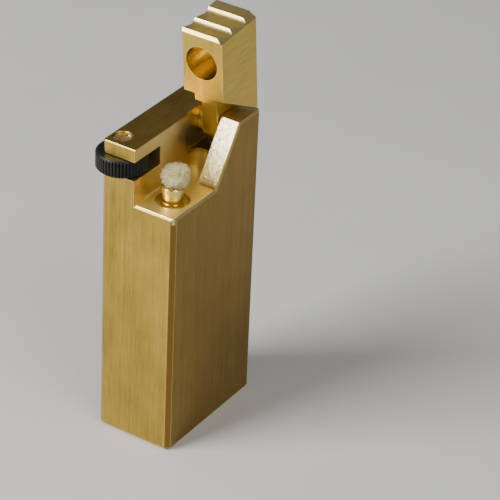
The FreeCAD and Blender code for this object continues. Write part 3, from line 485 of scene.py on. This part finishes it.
def tube_along(bm, points, radii, sides=6, caps=True):
    """A round tube through points."""
    rings = []
    side = None
    for index, point in enumerate(points):
        ahead = points[min(index + 1, len(points) - 1)]
        behind = points[max(index - 1, 0)]
        along = (ahead - behind).normalized()
        if side is None:
            side = along.orthogonal().normalized()
        side = (side - along * side.dot(along)).normalized()
        other = along.cross(side)
        radius = radii[index] if isinstance(radii, list) else radii
        ring = []
        for step in range(sides):
            angle = 2 * math.pi * step / sides
            ring.append(bm.verts.new(point + (side * math.cos(angle) + other * math.sin(angle)) * radius))
        rings.append(ring)
    for first, second in zip(rings, rings[1:]):
        for step in range(sides):
            bm.faces.new((first[step], first[(step + 1) % sides], second[(step + 1) % sides], second[step]))
    if caps:
        bm.faces.new(list(reversed(rings[0])))
        bm.faces.new(rings[-1])


wick_low, wick_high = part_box("wick")
wick_x = (wick_low[0] + wick_high[0]) / 2
wick_y = (wick_low[1] + wick_high[1]) / 2
tube_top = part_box("wick_tube")[1][2]


def build_cord(bm):
    """Three twisted strands from the packing up through the tube."""
    low = wick_low[2]
    high = tube_top + 0.8 * MM
    steps = 90
    for strand in range(3):
        points = []
        for step in range(steps + 1):
            share = step / steps
            angle = 2 * math.pi * (strand / 3 + share * 9)
            points.append(Vector((
                wick_x + 0.5 * MM * math.cos(angle),
                wick_y + 0.5 * MM * math.sin(angle),
                low + (high - low) * share,
            )))
        tube_along(bm, points, 0.53 * MM, sides=12)


REACH = 2.5 * MM


def eased(value, limit):
    """The value, unchanged up to three quarters of the limit and then slowing towards it."""
    easy = 0.75 * limit
    if value <= easy:
        return value
    return easy + (limit - easy) * math.tanh((value - easy) / (limit - easy))


def build_fluff(bm):
    """The frayed head: a lumpy cap over a narrow neck, with curled fibres and a hanging tuft."""
    rng = random.Random(11)
    low = tube_top + 0.02 * MM
    high = tube_top + 3.0 * MM
    neck = Vector((wick_x, wick_y, tube_top + 0.7 * MM))
    centre = Vector((wick_x + 0.26 * MM, wick_y - 0.24 * MM, tube_top + 1.45 * MM))

    def shape(way):
        """Distance of the cap's surface from its centre, in millimetres."""
        wave = (math.sin(way.x * 6 + 1) * math.sin(way.y * 5 + 2) * math.sin(way.z * 7 + 0.5)
                + 0.55 * math.sin(way.x * 13) * math.sin(way.y * 15 + 1) * math.sin(way.z * 12 + 2))
        return 1.55 + 0.42 * wave + 0.12 * (way.x - way.y)

    def keep_in(point, reach):
        """The point, eased in towards a distance from the tube's axis and kept above its rim."""
        flat = Vector((point.x - wick_x, point.y - wick_y, 0.0))
        if flat.length > 0.75 * reach:
            flat = flat.normalized() * eased(flat.length, reach)
        rise = eased(point.z - tube_top, high - tube_top)
        return Vector((wick_x + flat.x, wick_y + flat.y, max(tube_top + rise, low)))

    def strand(start, way, turn, length, lift, curl, radius):
        second = way.cross(turn)
        points = []
        for step in range(7):
            share = step / 6
            along = turn * math.sin(share * 1.5) * length * 0.8 + second * math.sin(share * 3) * curl * 0.3
            out = way * (lift * math.sin(share * math.pi) * 0.55 + 0.10)
            point = start + (along + out) * MM
            reach = point - centre
            if reach.length > 2.5 * MM:
                point = centre + reach.normalized() * 2.5 * MM
            points.append(keep_in(point, REACH))
        tube_along(bm, points, [radius * MM * (1 - 0.6 * k / 6) for k in range(7)], sides=4)

    core = bmesh.ops.create_icosphere(bm, subdivisions=4, radius=1.0)
    for vert in core["verts"]:
        way = vert.co.normalized()
        vert.co = centre + Vector((way.x, way.y, way.z * 0.80)) * shape(way) * MM
        vert.co = keep_in(vert.co, REACH)
    stem = bmesh.ops.create_icosphere(bm, subdivisions=4, radius=1.0)
    for vert in stem["verts"]:
        way = vert.co.normalized()
        size = 1.16 + 0.06 * math.sin(way.x * 9) * math.sin(way.y * 8)
        vert.co = neck + Vector((way.x * size, way.y * size, way.z * 1.2)) * MM
        vert.co.z = max(vert.co.z, low)
    for _ in range(1500):
        height = rng.uniform(-0.6, 1.0)
        angle = rng.uniform(0, 2 * math.pi)
        flat = math.sqrt(max(1 - height**2, 0))
        way = Vector((flat * math.cos(angle), flat * math.sin(angle), height))
        start = centre + Vector((way.x, way.y, way.z * 0.74)) * (shape(way) - 0.14) * MM
        turn = way.cross(Vector((rng.gauss(0, 1), rng.gauss(0, 1), rng.gauss(0, 1)))).normalized()
        strand(start, way, turn, rng.uniform(0.5, 1.5), rng.uniform(0.2, 1.5), rng.uniform(-1.2, 1.2), 0.036)
    for _ in range(300):
        angle = rng.uniform(0, 2 * math.pi)
        way = Vector((math.cos(angle), math.sin(angle), rng.uniform(-0.2, 0.3))).normalized()
        start = Vector((neck.x, neck.y, rng.uniform(low + 0.1 * MM, neck.z + 0.6 * MM))) + way * 1.05 * MM
        turn = (Vector((0, 0, 1)) + Vector((rng.gauss(0, 0.4), rng.gauss(0, 0.4), 0))).normalized()
        strand(start, way, turn, rng.uniform(0.4, 1.0), rng.uniform(0.05, 0.3), rng.uniform(-0.5, 0.5), 0.026)
    for _ in range(70):
        angle = rng.uniform(0, 2 * math.pi)
        way = Vector((math.cos(angle), math.sin(angle), rng.uniform(-0.1, 1.1))).normalized()
        start = centre + Vector((way.x, way.y, way.z * 0.80)) * (shape(way) - 0.1) * MM
        bend = way.cross(Vector((rng.gauss(0, 1), rng.gauss(0, 1), rng.gauss(0, 1)))).normalized()
        length = rng.uniform(0.3, 0.75)
        points = []
        for step in range(7):
            share = step / 6
            points.append(keep_in(start + (way * length * share + bend * 0.35 * share**2) * MM, REACH))
        tube_along(bm, points, [0.03 * MM * (1 - 0.6 * k / 6) for k in range(7)], sides=4)
    side = Vector((math.cos(-0.85), math.sin(-0.85), 0.0))
    for _ in range(110):
        scatter = Vector((rng.gauss(0, 0.2), rng.gauss(0, 0.2), 0.1))
        start = centre + (side * rng.uniform(1.2, 1.5) + scatter) * MM
        drop = rng.uniform(0.7, 1.9)
        lean = rng.gauss(0, 0.12)
        points = []
        for step in range(7):
            share = step / 6
            out = 0.45 * math.sin(share * 1.8)
            fall = Vector((side.x * out + lean * share, side.y * out, -drop * share * share))
            points.append(keep_in(start + fall * MM, REACH))
        tube_along(bm, points, [0.035 * MM * (1 - 0.5 * k / 6) for k in range(7)], sides=4)


add_mesh("wick_cord", build_cord, "case", "wick", material=materials["wick_fibre"], slot="wick_fibre")
add_mesh("wick_fluff", build_fluff, "case", material=materials["wick_fibre"], slot="wick_fibre")


def soften(node, name, material, voxel, strength, size):
    """A lumpy soft block in place of a plain one."""
    source = nodes_of[node]
    mesh = source.data.copy()
    mesh.name = name
    thing = bpy.data.objects.new(name, mesh)
    scene.collection.objects.link(thing)
    thing.matrix_world = source.matrix_world.copy()
    mesh.materials.clear()
    mesh.materials.append(material)
    remesh = thing.modifiers.new("remesh", "REMESH")
    remesh.mode = "VOXEL"
    remesh.voxel_size = voxel
    remesh.use_smooth_shade = True
    smooth = thing.modifiers.new("smooth", "SMOOTH")
    smooth.factor = 0.5
    smooth.iterations = 6
    texture = bpy.data.textures.new(name + "_lumps", "CLOUDS")
    texture.noise_scale = size
    texture.noise_depth = 2
    lumps = thing.modifiers.new("lumps", "DISPLACE")
    lumps.texture = texture
    lumps.texture_coords = "LOCAL"
    lumps.strength = strength
    lumps.mid_level = 0.85
    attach(thing, "case")
    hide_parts(node)
    return thing


soften("cotton_packing", "cotton_wad", materials["cotton"], 0.35 * MM, 0.5 * MM, 1.2 * MM)
soften("felt_pad", "felt_wad", materials["felt"], 0.2 * MM, 0.18 * MM, 0.5 * MM)


def spring(node, name):
    """A copy of a coil spring, with a mesh of its own, in place of the part."""
    source = nodes_of[node]
    mesh = source.data.copy()
    mesh.name = name
    thing = bpy.data.objects.new(name, mesh)
    scene.collection.objects.link(thing)
    thing.matrix_world = source.matrix_world.copy()
    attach(thing, "case")
    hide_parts(node)
    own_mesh(thing)


spring("flint_spring", "flint_coil")
spring("lid_spring", "lid_coil")


# --- Stage, light and camera ----------------------------------------------------------------------

def make_floor():
    s = Shader("floor")
    place = s.object_place()
    cloud = s.noise(place, 0.02, detail=3.0)
    speck = s.noise(place, 1.5, detail=3.0)
    colour = s.mix(s.ramp(cloud, 0.3, 0.7), rgb(0.60, 0.59, 0.57), rgb(0.64, 0.63, 0.61))
    s.set(Base_Color=colour, Roughness=s.ramp(speck, 0.3, 0.7, 0.55, 0.62),
          Normal=s.bump(speck, 0.00001, 0.3))
    mesh = bpy.data.meshes.new("floor")
    reach = 3.0
    mesh.from_pydata([(-reach, -reach, 0), (reach, -reach, 0), (reach, reach, 0), (-reach, reach, 0)], [],
                     [(0, 1, 2, 3)])
    mesh.materials.append(s.material)
    floor = bpy.data.objects.new("floor", mesh)
    scene.collection.objects.link(floor)
    return floor


def softbox(name, place, target, size, power, colour=(1.0, 1.0, 1.0)):
    light = bpy.data.lights.new(name, "AREA")
    light.shape = "RECTANGLE"
    light.size, light.size_y = size
    light.energy = power
    light.color = colour
    thing = bpy.data.objects.new(name, light)
    scene.collection.objects.link(thing)
    thing.location = place
    thing.rotation_mode = "QUATERNION"
    thing.rotation_quaternion = (Vector(target) - Vector(place)).to_track_quat("-Z", "Y")
    return thing


make_floor()
middle = (0.0, 0.0, 0.035)
softbox("key_light", (-0.42, 0.28, 0.33), middle, (0.34, 0.34), 6.6)
softbox("fill_light", (-0.22, -0.50, 0.55), middle, (0.4, 0.4), 2.4)

world = bpy.data.worlds.new("studio")
scene.world = world
world.use_nodes = True
world.node_tree.nodes["Background"].inputs["Color"].default_value = (0.80, 0.80, 0.79, 1.0)
world.node_tree.nodes["Background"].inputs["Strength"].default_value = 0.20

azimuth, elevation, roll = (math.radians(v) for v in (-56.273, 31.368, 1.756))
back = Vector((math.sin(azimuth) * math.cos(elevation), -math.cos(azimuth) * math.cos(elevation),
               math.sin(elevation)))
right = Vector((math.cos(azimuth), math.sin(azimuth), 0.0))
up = back.cross(right)
camera_x = right * math.cos(roll) + up * math.sin(roll)
camera_y = up * math.cos(roll) - right * math.sin(roll)
lens = bpy.data.cameras.new("camera")
lens.sensor_width = 36.0
lens.lens = 191.794
lens.shift_x = 0.1326
lens.shift_y = -0.0555
lens.clip_start = 0.01
camera = bpy.data.objects.new("camera", lens)
scene.collection.objects.link(camera)
turn = Matrix((camera_x, camera_y, back)).transposed().to_4x4()
camera.matrix_world = Matrix.Translation(Vector((-0.281455, -0.188591, 0.239694))) @ turn
scene.camera = camera
